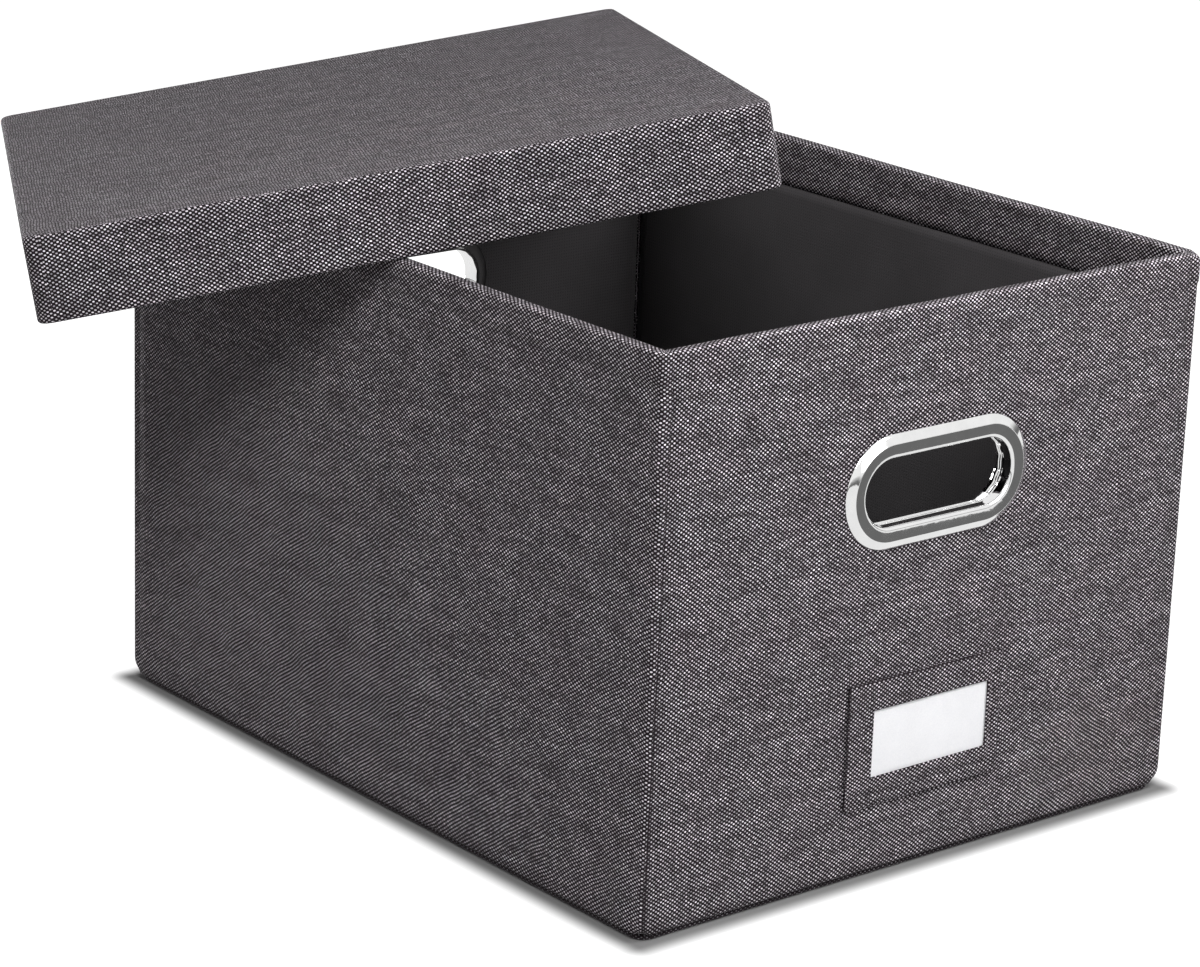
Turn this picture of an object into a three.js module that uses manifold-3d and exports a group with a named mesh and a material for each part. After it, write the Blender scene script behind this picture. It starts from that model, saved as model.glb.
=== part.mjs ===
// A collapsible file box: four cloth-covered walls joined by cloth corners that skew flat like
// a parallelogram, a bottom panel under them, metal handle eyelets, a label pocket and a lid.
// Millimetres, +Z up. The origin is the middle of the underside. The front looks along -Y.
import * as THREE from "three";
import { mergeVertices } from "three/addons/utils/BufferGeometryUtils.js";
import Module from "manifold-3d";

const wasm = await Module();
wasm.setup();

// The box over its walls.
const boxWidth = 318;
const boxDepth = 394;
const boxHeight = 260;

// The layers of a wall, from the outside in: cloth, glue line, board, glue line, cloth.
const cloth = 0.9;
const gap = 0.3;
const wallBoard = 3.6;
const rimRadius = 1.8;
const hemDepth = 24;

// The folded steel channel that stiffens the rims of the two long walls.
const railSheet = 0.6;
const railDepth = 13;
const ridgeSlope = 2;
const railEndGap = 6;

// The cloth corners. A hinge line lies just inside the inner faces of its two walls.
const hingeInset = 0.5;
const cornerTopRound = 3;
const cornerTopDrop = 4;
const cornerFootRound = 5;
const cornerFootDrop = 8;

// The bottom panel, which the walls stand on and slide over as the box folds.
const bottomCloth = 0.6;
const bottomGap = 0.2;
const bottomBoard = 1.2;
const bottomInset = 2.5;
const bottomCornerRadius = 6;
const bottomHem = 16;

// The handles: long round-ended eyelets through the two short walls.
const handleHeight = 179;
const openingLength = 87;
const openingHeight = 31;
const barrelSheet = 0.9;
const flangeWidth = 10.5;
const flangeCrown = 3;
const flangeEdge = 0.9;
const backingWidth = 7;
const backingThickness = 1.5;
const crimpReach = 1.7;
const crimpThickness = 0.7;
const boardHoleMargin = 1;

// The label pocket on the front wall, open at its left end, and its card.
const pocketLength = 93;
const pocketHeight = 59;
const pocketCentreHeight = 64;
const pocketSeam = 6;
const pocketCloth = 0.9;
const pocketCornerRadius = 1.5;
const windowLength = 69;
const windowHeight = 31;
const windowShift = 3.5;
const cardThickness = 0.5;
const cardPlay = 0.8;

// The lid, and how it lies askew on the box: which spot of its inside rests on the back left
// corner of the box, and where its front side crosses the left rim.
const lidDepth = 39;
const lidBoard = 2.6;
const lidClearance = 1.2;
const lidCornerRadius = 7;
const lidEdgeRadius = 2.4;
const cornerFromLidLeft = 55;
const cornerFromLidBack = 214;
const leftRimFromLidRight = 168;
const lidSeat = 0.3;

// How round things are divided.
const arcSteps = 5;
const eyeletSteps = 16;
const cornerSteps = 24;
const overrun = 5;

const wallThickness = 2 * cloth + 2 * gap + wallBoard;
const ridge = railSheet + gap;
const bottomThickness = 2 * bottomCloth + 2 * bottomGap + bottomBoard;
const wallFoot = bottomThickness + bottomGap;
const insideWidth = boxWidth - 2 * wallThickness;
const insideDepth = boxDepth - 2 * wallThickness;
const wallEnd = hingeInset + gap;
const lidWall = 2 * cloth + 2 * gap + lidBoard;
const lidWidth = boxWidth + 2 * (ridge + lidClearance + lidWall);
const lidLength = boxDepth + 2 * (lidClearance + lidWall);

const charcoalCloth = new THREE.MeshStandardMaterial({ color: 0x4a4548, roughness: 0.95 });
const liningCloth = new THREE.MeshStandardMaterial({ color: 0x2a292b, roughness: 0.9 });
const greyBoard = new THREE.MeshStandardMaterial({ color: 0x8a7c68, roughness: 0.85 });
const railSteel = new THREE.MeshStandardMaterial({ color: 0x9a9da0, roughness: 0.45, metalness: 0.9 });
const polishedSteel = new THREE.MeshStandardMaterial({ color: 0xd5d6d8, roughness: 0.12, metalness: 1 });
const whiteCard = new THREE.MeshStandardMaterial({ color: 0xf2f1ed, roughness: 0.8 });

function toSolid(geometry) {
  const plain = geometry.index ? geometry.toNonIndexed() : geometry.clone();
  plain.deleteAttribute("normal");
  plain.deleteAttribute("uv");
  const merged = mergeVertices(plain);
  return new wasm.Manifold(
    new wasm.Mesh({
      numProp: 3,
      vertProperties: new Float32Array(merged.attributes.position.array),
      triVerts: new Uint32Array(merged.index.array),
    }),
  );
}

function toGeometry(solid) {
  const mesh = solid.getMesh();
  const geometry = new THREE.BufferGeometry();
  geometry.setAttribute("position", new THREE.BufferAttribute(mesh.vertProperties, mesh.numProp));
  geometry.setIndex(new THREE.BufferAttribute(mesh.triVerts, 1));
  geometry.computeVertexNormals();
  return geometry;
}

function cut(geometry, ...tools) {
  return toGeometry(tools.reduce((solid, tool) => solid.subtract(toSolid(tool)), toSolid(geometry)));
}

function common(geometry, other) {
  return toGeometry(toSolid(geometry).intersect(toSolid(other)));
}

function block(low, high) {
  const size = high.map((value, axis) => value - low[axis]);
  const middle = high.map((value, axis) => (value + low[axis]) / 2);
  return new THREE.BoxGeometry(...size).translate(...middle);
}

function piece(parent, name, geometry, material) {
  const mesh = new THREE.Mesh(geometry, material);
  mesh.name = name;
  parent.add(mesh);
  return mesh;
}

// A rectangle with round corners, flat in X and Y, raised from one height to another.
function roundedSlab(halfX, halfY, radius, low, high) {
  return new THREE.ExtrudeGeometry(roundedRectangle(halfX, halfY, radius), {
    depth: high - low,
    bevelEnabled: false,
    curveSegments: arcSteps,
  }).translate(0, 0, low);
}

function roundedRectangle(halfX, halfY, radius) {
  const x = halfX - radius;
  const y = halfY - radius;
  const shape = new THREE.Shape();
  shape.moveTo(-x, -halfY);
  shape.lineTo(x, -halfY);
  shape.absarc(x, -y, radius, -Math.PI / 2, 0, false);
  shape.lineTo(halfX, y);
  shape.absarc(x, y, radius, 0, Math.PI / 2, false);
  shape.lineTo(-x, halfY);
  shape.absarc(-x, y, radius, Math.PI / 2, Math.PI, false);
  shape.lineTo(-halfX, -y);
  shape.absarc(-x, -y, radius, Math.PI, 1.5 * Math.PI, false);
  return shape;
}

// A wall's own frame: x runs along the wall from one hinge to the next, its inner face is at
// y = 0 and its outer face at y = -wallThickness. Here a section, drawn as distance outwards
// from the inner face against height, is drawn out along the wall.
function alongWall(section, start, end) {
  const outwards = new THREE.Vector3(0, -1, 0);
  const upwards = new THREE.Vector3(0, 0, 1);
  const backwards = new THREE.Vector3(-1, 0, 0);
  return new THREE.ExtrudeGeometry(section, {
    depth: end - start,
    bevelEnabled: false,
    curveSegments: arcSteps,
  })
    .applyMatrix4(new THREE.Matrix4().makeBasis(outwards, upwards, backwards))
    .translate(end, 0, 0);
}

// The outer cloth of a wall: up the outside, over the rim and down inside as a hem, and turned
// under the board at the foot. Over a rail it stands out by the width of the ridge.
function coverSection(ridgeWidth) {
  const outer = wallThickness + ridgeWidth;
  const rim = boxHeight - rimRadius;
  const foot = wallFoot + rimRadius;
  const inside = rimRadius - cloth;
  const ridgeFoot = boxHeight - railDepth;
  const quarter = Math.PI / 2;
  const shape = new THREE.Shape();
  shape.moveTo(0, boxHeight - hemDepth);
  shape.lineTo(0, rim);
  shape.absarc(rimRadius, rim, rimRadius, Math.PI, quarter, true);
  shape.lineTo(outer - rimRadius, boxHeight);
  shape.absarc(outer - rimRadius, rim, rimRadius, quarter, 0, true);
  shape.lineTo(outer, ridgeFoot);
  shape.lineTo(wallThickness, ridgeFoot - ridgeSlope);
  shape.lineTo(wallThickness, foot);
  shape.absarc(wallThickness - rimRadius, foot, rimRadius, 0, -quarter, true);
  shape.lineTo(cloth + gap, wallFoot);
  shape.lineTo(cloth + gap, wallFoot + cloth);
  shape.lineTo(wallThickness - rimRadius, wallFoot + cloth);
  shape.absarc(wallThickness - rimRadius, foot, inside, -quarter, 0, false);
  shape.lineTo(wallThickness - cloth, ridgeFoot - ridgeSlope);
  shape.lineTo(outer - cloth, ridgeFoot);
  shape.lineTo(outer - cloth, rim);
  shape.absarc(outer - rimRadius, rim, inside, 0, quarter, false);
  shape.lineTo(rimRadius, boxHeight - cloth);
  shape.absarc(rimRadius, rim, inside, quarter, Math.PI, false);
  shape.lineTo(cloth, boxHeight - hemDepth);
  return shape;
}

// The board of a wall. Where a rail sits over it, its top is lower and its inner side is rebated.
function boardSection(ridgeWidth) {
  const inner = cloth + gap;
  const outer = inner + wallBoard;
  const foot = wallFoot + cloth + gap;
  const top = boxHeight - cloth - gap - ridgeWidth;
  const rebateFoot = boxHeight - railDepth - gap;
  const shape = new THREE.Shape();
  shape.moveTo(inner, foot);
  shape.lineTo(outer, foot);
  shape.lineTo(outer, top);
  shape.lineTo(inner + ridgeWidth, top);
  if (ridgeWidth > 0) {
    shape.lineTo(inner + ridgeWidth, rebateFoot);
    shape.lineTo(inner, rebateFoot);
  }
  return shape;
}

// The rail: a channel that rides astride the top of the board.
function railSection() {
  const inner = cloth + gap;
  const outer = wallThickness + ridge - cloth - gap;
  const top = boxHeight - cloth - gap;
  const foot = boxHeight - railDepth;
  const shape = new THREE.Shape();
  shape.moveTo(inner, foot);
  shape.lineTo(inner + railSheet, foot);
  shape.lineTo(inner + railSheet, top - railSheet);
  shape.lineTo(outer - railSheet, top - railSheet);
  shape.lineTo(outer - railSheet, foot);
  shape.lineTo(outer, foot);
  shape.lineTo(outer, top);
  shape.lineTo(inner, top);
  return shape;
}

function liningSection() {
  const shape = new THREE.Shape();
  shape.moveTo(0, wallFoot);
  shape.lineTo(cloth, wallFoot);
  shape.lineTo(cloth, boxHeight - hemDepth - gap);
  shape.lineTo(0, boxHeight - hemDepth - gap);
  return shape;
}

// A ring swept round a handle opening. Its section is a closed list of pairs: the distance out
// from the edge of the opening, and the distance out from the wall's outer face.
function eyeletRing(section, middleX) {
  const endRadius = openingHeight / 2;
  const straightHalf = (openingLength - openingHeight) / 2;
  const stations = [];
  for (const side of [1, -1]) {
    for (let step = 0; step <= eyeletSteps; step++) {
      const angle = (step / eyeletSteps - 1 / 2) * Math.PI;
      const out = [side * Math.cos(angle), side * Math.sin(angle)];
      stations.push({ x: side * straightHalf + endRadius * out[0], z: endRadius * out[1], out });
    }
  }
  const points = [];
  const faces = [];
  stations.forEach(({ x, z, out }, station) => {
    const next = (station + 1) % stations.length;
    section.forEach(([away, lift], row) => {
      points.push(middleX + x + away * out[0], -wallThickness - lift, handleHeight + z + away * out[1]);
      const after = (row + 1) % section.length;
      const a = station * section.length + row;
      const b = station * section.length + after;
      const c = next * section.length + after;
      const d = next * section.length + row;
      faces.push(a, b, c, a, c, d);
    });
  });
  const geometry = new THREE.BufferGeometry();
  geometry.setAttribute("position", new THREE.Float32BufferAttribute(points, 3));
  geometry.setIndex(faces);
  geometry.computeVertexNormals();
  return geometry;
}

// The plug of a handle hole in a wall, wider than the opening by a margin.
function handlePlug(margin, middleX) {
  const outline = new THREE.Shape();
  const radius = openingHeight / 2 + margin;
  const straightHalf = (openingLength - openingHeight) / 2;
  outline.moveTo(-straightHalf, -radius);
  outline.lineTo(straightHalf, -radius);
  outline.absarc(straightHalf, 0, radius, -Math.PI / 2, Math.PI / 2, false);
  outline.lineTo(-straightHalf, radius);
  outline.absarc(-straightHalf, 0, radius, Math.PI / 2, 1.5 * Math.PI, false);
  return new THREE.ExtrudeGeometry(outline, {
    depth: wallThickness + 2 * overrun,
    bevelEnabled: false,
    curveSegments: eyeletSteps,
  })
    .rotateX(Math.PI / 2)
    .translate(middleX, overrun, handleHeight);
}

// The bezel seen from outside: a crowned flange, a barrel through the wall and, inside the box,
// the end of the barrel rolled back over the backing ring.
function bezelSection() {
  const inside = -wallThickness - gap - backingThickness - gap;
  const crown = gap + flangeCrown;
  const crownShares = [
    [0.05, 0.83],
    [0.18, 1],
    [0.42, 0.97],
    [0.7, 0.78],
    [0.9, 0.5],
  ];
  return [
    [0, inside - crimpThickness],
    [0, gap + flangeCrown / 2],
    ...crownShares.map(([across, high]) => [across * flangeWidth, high * crown]),
    [flangeWidth, gap + flangeEdge / 2],
    [flangeWidth - flangeEdge / 2, gap],
    [barrelSheet, gap],
    [barrelSheet, inside],
    [crimpReach, inside],
    [crimpReach, inside - crimpThickness / 2],
    [crimpReach - crimpThickness / 2, inside - crimpThickness],
  ];
}

// The backing ring lies against the lining, round the barrel.
function backingSection() {
  const face = -wallThickness - gap;
  const near = barrelSheet + gap;
  const far = barrelSheet + backingWidth;
  const round = backingThickness / 3;
  return [
    [far, face],
    [far, face - round],
    [far - 2 * round, face - backingThickness],
    [near, face - backingThickness],
    [near, face],
  ];
}

// One wall in its own frame, with its board, outer cloth and lining, and a rail or a handle.
function wall(parent, name, length, { railed = false, handled = false }) {
  const start = wallEnd;
  const end = length - wallEnd;
  const middle = length / 2;
  const ridgeWidth = railed ? ridge : 0;
  let board = alongWall(boardSection(ridgeWidth), start + gap, end - gap);
  let cover = alongWall(coverSection(ridgeWidth), start, end);
  let lining = alongWall(liningSection(), start, end);
  if (handled) {
    board = cut(board, handlePlug(barrelSheet + boardHoleMargin, middle));
    cover = cut(cover, handlePlug(barrelSheet + gap, middle));
    lining = cut(lining, handlePlug(barrelSheet + gap, middle));
  }
  piece(parent, name + "_wall_board", board, greyBoard);
  piece(parent, name + "_wall_cover", cover, charcoalCloth);
  piece(parent, name + "_wall_lining", lining, liningCloth);
  if (railed) {
    const rail = alongWall(railSection(), start + railEndGap, end - railEndGap);
    piece(parent, name + "_hanging_rail", rail, railSteel);
  }
  if (handled) {
    piece(parent, name + "_handle_bezel", eyeletRing(bezelSection(), middle), polishedSteel);
    piece(parent, name + "_handle_backing_ring", eyeletRing(backingSection(), middle), polishedSteel);
  }
}

// The cloth pocket sewn to the front wall on three sides, with a window, and the card in it.
function labelPocket(parent, middleX) {
  const face = -wallThickness;
  const halfLength = pocketLength / 2;
  const halfHeight = pocketHeight / 2;
  const cardFace = face - gap;
  const clothBack = cardFace - cardThickness - gap;
  const front = clothBack - pocketCloth;
  const place = (geometry) => geometry.translate(middleX, 0, pocketCentreHeight);
  const outline = new THREE.ExtrudeGeometry(
    roundedRectangle(halfLength, halfHeight, pocketCornerRadius),
    { depth: cardFace - front, bevelEnabled: false, curveSegments: arcSteps },
  )
    .rotateX(Math.PI / 2)
    .translate(0, cardFace, 0);
  const seamInside = halfHeight - pocketSeam;
  const slot = block(
    [-halfLength - overrun, clothBack, -seamInside],
    [halfLength - pocketSeam, cardFace + overrun, seamInside],
  );
  const windowLeft = windowShift - windowLength / 2;
  const opening = block(
    [windowLeft, front - overrun, -windowHeight / 2],
    [windowLeft + windowLength, cardFace + overrun, windowHeight / 2],
  );
  piece(parent, "label_holder", place(cut(outline, slot, opening)), charcoalCloth);
  const card = block(
    [-halfLength, cardFace - cardThickness, cardPlay - seamInside],
    [halfLength - pocketSeam - cardPlay, cardFace, seamInside - cardPlay],
  );
  piece(parent, "label_card", place(card), whiteCard);
}

// A cloth corner: the quarter of a round post that fills the corner outside a hinge line, with
// its top and foot drawn in.
function corner(parent, name, sideX, sideY) {
  const radius = wallThickness + hingeInset;
  const profile = new THREE.Path();
  const footStart = radius - cornerFootRound;
  const topStart = radius - cornerTopRound;
  const footTop = wallFoot + cornerFootDrop;
  const topFoot = boxHeight - cornerTopDrop;
  profile.moveTo(0, wallFoot);
  profile.lineTo(footStart, wallFoot);
  profile.absellipse(footStart, footTop, cornerFootRound, cornerFootDrop, -Math.PI / 2, 0, false);
  profile.lineTo(radius, topFoot);
  profile.absellipse(topStart, topFoot, cornerTopRound, cornerTopDrop, 0, Math.PI / 2, false);
  profile.lineTo(0, boxHeight);
  const post = new THREE.LatheGeometry(profile.getPoints(arcSteps), cornerSteps).rotateX(Math.PI / 2);
  const reach = radius + overrun;
  const quadrant = block(
    [Math.min(0, sideX * reach), Math.min(0, sideY * reach), -overrun],
    [Math.max(0, sideX * reach), Math.max(0, sideY * reach), boxHeight + overrun],
  );
  const quarterPost = common(post, quadrant);
  const mesh = piece(parent, name, quarterPost, charcoalCloth);
  mesh.position.set(
    sideX * (insideWidth / 2 - hingeInset),
    sideY * (insideDepth / 2 - hingeInset),
    0,
  );
}

// The bottom panel: a thin board in a cloth wrap whose edges are turned in over it, and the
// floor lining laid inside the turned edge.
function bottomPanel(parent) {
  const halfX = boxWidth / 2 - bottomInset;
  const halfY = boxDepth / 2 - bottomInset;
  const skin = bottomCloth;
  const inset = bottomCloth + bottomGap;
  const outer = roundedSlab(halfX, halfY, bottomCornerRadius, 0, bottomThickness);
  const room = roundedSlab(
    halfX - skin,
    halfY - skin,
    bottomCornerRadius - skin,
    skin,
    bottomThickness - skin,
  );
  const mouth = roundedSlab(
    halfX - bottomHem,
    halfY - bottomHem,
    bottomCornerRadius,
    skin,
    bottomThickness + overrun,
  );
  piece(parent, "bottom_cover", cut(outer, room, mouth), charcoalCloth);
  const boardLow = inset;
  piece(
    parent,
    "bottom_board",
    roundedSlab(halfX - inset, halfY - inset, bottomCornerRadius - inset, boardLow, boardLow + bottomBoard),
    greyBoard,
  );
  const liningEdge = bottomHem + bottomGap;
  piece(
    parent,
    "floor_lining",
    roundedSlab(
      halfX - liningEdge,
      halfY - liningEdge,
      bottomCornerRadius,
      bottomThickness - skin,
      bottomThickness,
    ),
    liningCloth,
  );
}

// The lid in its own frame, top at z = 0: a board tray in a cloth cap with a lining.
function lid(parent) {
  const halfX = lidWidth / 2;
  const halfY = lidLength / 2;
  const shellOuter = new THREE.ExtrudeGeometry(
    roundedRectangle(halfX - lidEdgeRadius, halfY - lidEdgeRadius, lidCornerRadius - lidEdgeRadius),
    {
      depth: lidDepth + lidEdgeRadius,
      bevelThickness: lidEdgeRadius,
      bevelSize: lidEdgeRadius,
      bevelSegments: arcSteps,
      curveSegments: arcSteps,
    },
  ).translate(0, 0, -lidDepth - 2 * lidEdgeRadius);
  const belowLid = block(
    [-lidWidth, -lidLength, -2 * lidDepth],
    [lidWidth, lidLength, -lidDepth],
  );
  const inset = (amount, low, high) =>
    roundedSlab(halfX - amount, halfY - amount, Math.max(lidCornerRadius - amount, gap), low, high);
  const boardRoom = inset(cloth, cloth - lidDepth, -lidEdgeRadius);
  const topRoom = inset(lidEdgeRadius, -lidEdgeRadius - gap, -cloth);
  const mouth = inset(lidWall, -lidDepth - overrun, -lidDepth + 2 * cloth);
  piece(parent, "lid_cover", cut(shellOuter, belowLid, boardRoom, topRoom, mouth), charcoalCloth);

  const boardFoot = -lidDepth + cloth + gap;
  const topFoot = -cloth - gap - lidBoard;
  const boardInset = cloth + gap;
  const boardOutline = inset(boardInset, boardFoot, topFoot - gap);
  const innerX = halfX - boardInset - lidBoard;
  const innerY = halfY - boardInset - lidBoard;
  piece(parent, "lid_top_board", inset(lidEdgeRadius + gap, topFoot, -cloth - gap), greyBoard);
  const sides = [
    ["lid_front_board", [-halfX, -halfY], [halfX, -innerY]],
    ["lid_back_board", [-halfX, innerY], [halfX, halfY]],
    ["lid_left_board", [-halfX, gap - innerY], [-innerX, innerY - gap]],
    ["lid_right_board", [innerX, gap - innerY], [halfX, innerY - gap]],
  ];
  for (const [name, low, high] of sides) {
    const slab = block([...low, -lidDepth], [...high, 0]);
    piece(parent, name, common(boardOutline, slab), greyBoard);
  }
  const liningFoot = -lidDepth + cloth + gap;
  const liningTop = topFoot - gap;
  piece(
    parent,
    "lid_lining",
    cut(
      inset(lidWall - cloth, liningFoot, liningTop),
      inset(lidWall, -lidDepth - overrun, liningTop - cloth),
    ),
    liningCloth,
  );
}

// The lid rests on three points: its inside top on the box's back left corner, its front side on
// the left rim, and its right side on the back rim. The two rims meet at a right angle, which
// gives the third point, and the three give the lid's turn and tilt.
function seatLid(group) {
  const underTop = -(2 * cloth + 2 * gap + lidBoard);
  const left = lidWall - lidWidth / 2;
  const right = lidWidth / 2 - lidWall;
  const front = lidWall - lidLength / 2;
  const back = lidLength / 2 - lidWall;
  const onCorner = new THREE.Vector3(left + cornerFromLidLeft, back - cornerFromLidBack, underTop);
  const onLeftRim = new THREE.Vector3(right - leftRimFromLidRight, front, -lidDepth);
  const drop = -lidDepth - underTop;
  const along = (onLeftRim.x - onCorner.x) * (right - onCorner.x) + drop * drop;
  const onBackRim = new THREE.Vector3(right, onCorner.y - along / (front - onCorner.y), -lidDepth);
  const boxY = onCorner.clone().sub(onLeftRim).normalize();
  const boxX = onBackRim.clone().sub(onCorner).normalize();
  const boxZ = new THREE.Vector3().crossVectors(boxX, boxY);
  const turn = new THREE.Matrix4().makeBasis(boxX, boxY, boxZ).transpose();
  const seat = new THREE.Vector3(
    rimRadius - boxWidth / 2,
    boxDepth / 2 - rimRadius,
    boxHeight + lidSeat,
  );
  group.quaternion.setFromRotationMatrix(turn);
  group.position.copy(seat.sub(onCorner.applyMatrix4(turn)));
}

const fileBox = new THREE.Group();

bottomPanel(fileBox);

// Each wall's frame starts at the inner corner that lies to its left, seen from outside.
const halfInsideX = insideWidth / 2;
const halfInsideY = insideDepth / 2;
const wallPlaces = [
  ["front", -halfInsideX, -halfInsideY, 0, insideWidth, { handled: true }],
  ["right", halfInsideX, -halfInsideY, Math.PI / 2, insideDepth, { railed: true }],
  ["back", halfInsideX, halfInsideY, Math.PI, insideWidth, { handled: true }],
  ["left", -halfInsideX, halfInsideY, -Math.PI / 2, insideDepth, { railed: true }],
];
for (const [name, x, y, turn, length, kind] of wallPlaces) {
  const group = new THREE.Group();
  group.position.set(x, y, 0);
  group.rotation.z = turn;
  wall(group, name, length, kind);
  if (name === "front") labelPocket(group, length / 2);
  fileBox.add(group);
}

corner(fileBox, "corner_front_left", -1, -1);
corner(fileBox, "corner_front_right", 1, -1);
corner(fileBox, "corner_back_right", 1, 1);
corner(fileBox, "corner_back_left", -1, 1);

const lidGroup = new THREE.Group();
lid(lidGroup);
seatLid(lidGroup);
fileBox.add(lidGroup);

export default fileBox;
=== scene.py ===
import math

import bpy
import numpy as np
from mathutils import Matrix, Vector, noise


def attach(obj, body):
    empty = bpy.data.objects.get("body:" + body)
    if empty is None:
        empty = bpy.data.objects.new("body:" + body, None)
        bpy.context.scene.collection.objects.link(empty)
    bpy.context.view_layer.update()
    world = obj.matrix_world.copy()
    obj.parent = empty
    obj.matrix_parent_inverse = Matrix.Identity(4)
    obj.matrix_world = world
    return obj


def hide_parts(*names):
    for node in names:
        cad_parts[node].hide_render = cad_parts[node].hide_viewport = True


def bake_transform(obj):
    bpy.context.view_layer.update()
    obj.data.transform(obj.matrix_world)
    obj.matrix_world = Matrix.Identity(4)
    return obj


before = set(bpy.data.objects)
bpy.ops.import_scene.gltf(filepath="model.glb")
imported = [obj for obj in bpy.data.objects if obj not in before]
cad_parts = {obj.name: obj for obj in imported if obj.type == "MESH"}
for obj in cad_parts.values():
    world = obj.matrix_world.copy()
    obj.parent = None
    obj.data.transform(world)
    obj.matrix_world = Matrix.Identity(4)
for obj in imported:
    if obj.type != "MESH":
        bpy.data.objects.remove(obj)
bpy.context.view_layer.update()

MM = 0.001

# The box and the layers of its walls, as in the solids.
BOX_WIDTH, BOX_DEPTH, BOX_HEIGHT = 318.0, 394.0, 260.0
CLOTH, GAP, WALL = 0.9, 0.3, 6.0
RIM_RADIUS, HEM = 1.8, 24.0
RIDGE, RIDGE_SLOPE, RAIL_DEPTH = 0.9, 2.0, 13.0
WALL_FOOT, BOTTOM = 3.0, 2.8
HINGE_X, HINGE_Y, HINGE_INSET = 152.5, 190.5, 0.5
CORNER_RADIUS = WALL + HINGE_INSET

# The handles.
HANDLE_Z, OPENING_LENGTH, OPENING_HEIGHT = 179.0, 87.0, 31.0
HANDLE_HALF = (OPENING_LENGTH - OPENING_HEIGHT) / 2
HOLE_RADIUS = OPENING_HEIGHT / 2 + 3.0
RING_THICKNESS = 1.5

# The label pocket and its window, with their low and high ends.
POCKET_X, POCKET_Z = (-46.5, 46.5), (34.5, 93.5)
WINDOW_X, WINDOW_Z = (-31.0, 38.0), (48.5, 79.5)
POCKET_FRONT = -199.0

# The lid, and where on it the three points are that it rests on.
LID_DEPTH, LID_WALL, LID_RADIUS, LID_EDGE, LID_SLACK = 39.0, 5.0, 7.0, 2.4, 1.2
LID_WIDTH = BOX_WIDTH + 2 * (RIDGE + LID_SLACK + LID_WALL)
LID_LENGTH = BOX_DEPTH + 2 * (LID_SLACK + LID_WALL)
SEAT_FROM_LEFT, SEAT_FROM_BACK, SEAT_FROM_RIGHT = 55, 214, 168

# The weave: one upright yarn every 1.3 mm and one level yarn every 0.94 mm, their two colours, and the height
# of the wave from which the level yarn shows.
YARN_ACROSS, YARN_UP = 1.305, 0.943
LEVEL_YARN, UPRIGHT_YARN = (0.73, 0.695, 0.742), (0.0062, 0.0036, 0.0052)
LEVEL_SHOWS_FROM = 0.38

# The lining's dots are this far apart, across and up.
LINING_DOTS = 1.6

# Each piece's cloth starts at a place of its own across the roll. The walls' cloth runs on round the corners.
ACROSS_START = {"left": 0.0, "front": 392.9, "right": 709.8, "back": 1102.7}
POCKET_START, PANEL_START, FLOOR_START, LID_START, LID_INSIDE_START = 2000.35, 3000, 3500, 5000, 6000

# The mesh: the distance between points along a wall, and the angle in degrees from which an edge is sharp.
WALL_STEP, SHARP_FROM = 5.0, 50.0


# Materials


class Nodes:
    """A node tree, with short calls that add one node each and return its output."""

    def __init__(self, owner, kind_of_output):
        owner.use_nodes = True
        self.tree = owner.node_tree
        self.tree.nodes.clear()
        self.out = self.tree.nodes.new(kind_of_output)

    def node(self, kind, inputs=None, **settings):
        made = self.tree.nodes.new(kind)
        for key, value in settings.items():
            setattr(made, key, value)
        for key, value in (inputs or {}).items():
            self.put(made.inputs[key], value)
        return made

    def put(self, socket, value):
        if isinstance(value, bpy.types.NodeSocket):
            self.tree.links.new(value, socket)
        elif socket.type == "RGBA" and len(value) == 3:
            socket.default_value = (*value, 1.0)
        else:
            socket.default_value = value

    def finish(self, shader):
        self.tree.links.new(shader, self.out.inputs[0])

    def math(self, operation, a, b=0.0):
        return self.node("ShaderNodeMath", {0: a, 1: b}, operation=operation).outputs[0]

    def plus(self, a, b):
        return self.math("ADD", a, b)

    def minus(self, a, b):
        return self.math("SUBTRACT", a, b)

    def times(self, a, b):
        return self.math("MULTIPLY", a, b)

    def span(self, value, low, high, to_low=0.0, to_high=1.0, smooth=False):
        """A value from low to high, carried over to to_low to to_high."""
        kind = "SMOOTHSTEP" if smooth else "LINEAR"
        sockets = {"Value": value, "From Min": low, "From Max": high, "To Min": to_low, "To Max": to_high}
        return self.node("ShaderNodeMapRange", sockets, interpolation_type=kind).outputs[0]

    def vector(self, x, y):
        return self.node("ShaderNodeCombineXYZ", {0: x, 1: y}).outputs[0]

    def noise(self, vector, scale, detail=2.0, roughness=0.5):
        sockets = {"Vector": vector, "Scale": scale, "Detail": detail, "Roughness": roughness}
        return self.node("ShaderNodeTexNoise", sockets).outputs["Fac"]

    def blend(self, share, a, b, kind="MIX"):
        # Among this node's sockets, 6 and 7 are the two colours, and output 2 is their blend.
        made = self.node("ShaderNodeMix", data_type="RGBA", blend_type=kind)
        self.put(made.inputs[0], share)
        self.put(made.inputs[6], a)
        self.put(made.inputs[7], b)
        return made.outputs[2]

    def tinted(self, colour, factor):
        """A colour times a grey factor."""
        grey = self.node("ShaderNodeCombineColor", {0: factor, 1: factor, 2: factor}).outputs[0]
        return self.blend(1.0, colour, grey, "MULTIPLY")

    def mixed(self, share, a, b):
        return self.node("ShaderNodeMixShader", {0: share, 1: a, 2: b}).outputs[0]


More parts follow.
